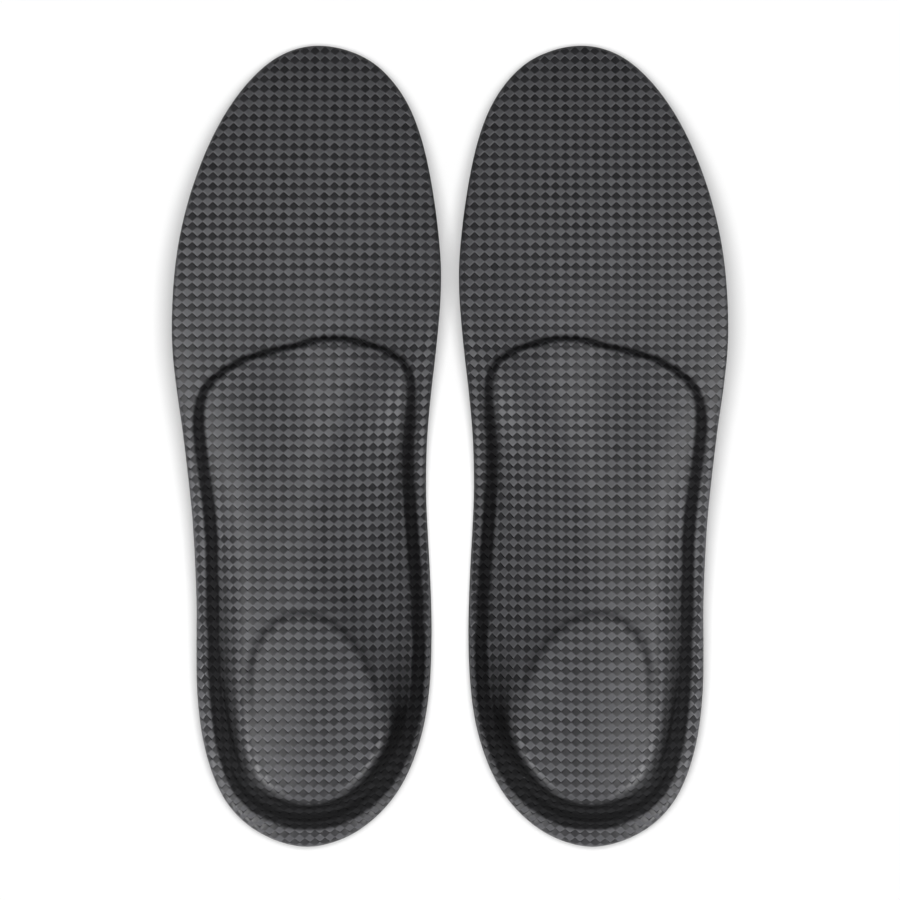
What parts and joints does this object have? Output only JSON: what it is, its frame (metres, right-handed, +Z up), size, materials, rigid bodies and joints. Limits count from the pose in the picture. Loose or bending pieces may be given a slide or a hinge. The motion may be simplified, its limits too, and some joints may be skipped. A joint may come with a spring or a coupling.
{
  "type": "cushioned insole pair",
  "caption": "Pair of full-length cushioned insoles with heel cup, arch support shell and embossed carbon-look sole film, lying sole side up.",
  "frame": {"origin": "centre of the pair's box on the surface it lies on, with the soles facing up", "axes": "+X across the pair from the right foot's insole to the left foot's, +Y from the heels to the toes, +Z up, out of the soles; turn the pair over about Y to wear it"},
  "size_m": [0.1856, 0.27, 0.0198],
  "materials": {
    "carbon_look_film": "satin thermoplastic film embossed with a plain carbon-fibre weave",
    "heel_gel": "soft matt polyurethane gel",
    "shell_plastic": "moulded semi-rigid thermoplastic",
    "black_foam": "matt closed-cell polyurethane foam",
    "knit_cover": "matt warp-knit polyester"
  },
  "bodies": {
    "right_insole": {"right_sole_film": "carbon_look_film", "right_heel_pad": "heel_gel", "right_support_shell": "shell_plastic", "right_foam_bed": "black_foam", "right_top_cover": "knit_cover"},
    "left_insole": {"left_sole_film": "carbon_look_film", "left_heel_pad": "heel_gel", "left_support_shell": "shell_plastic", "left_foam_bed": "black_foam", "left_top_cover": "knit_cover"}
  },
  "joints": [
    {"name": "left_insole_apart", "type": "slide", "parent": "right_insole", "child": "left_insole", "axis": [1, 0, 0], "range_m": [0, 0.12]}
  ]
}
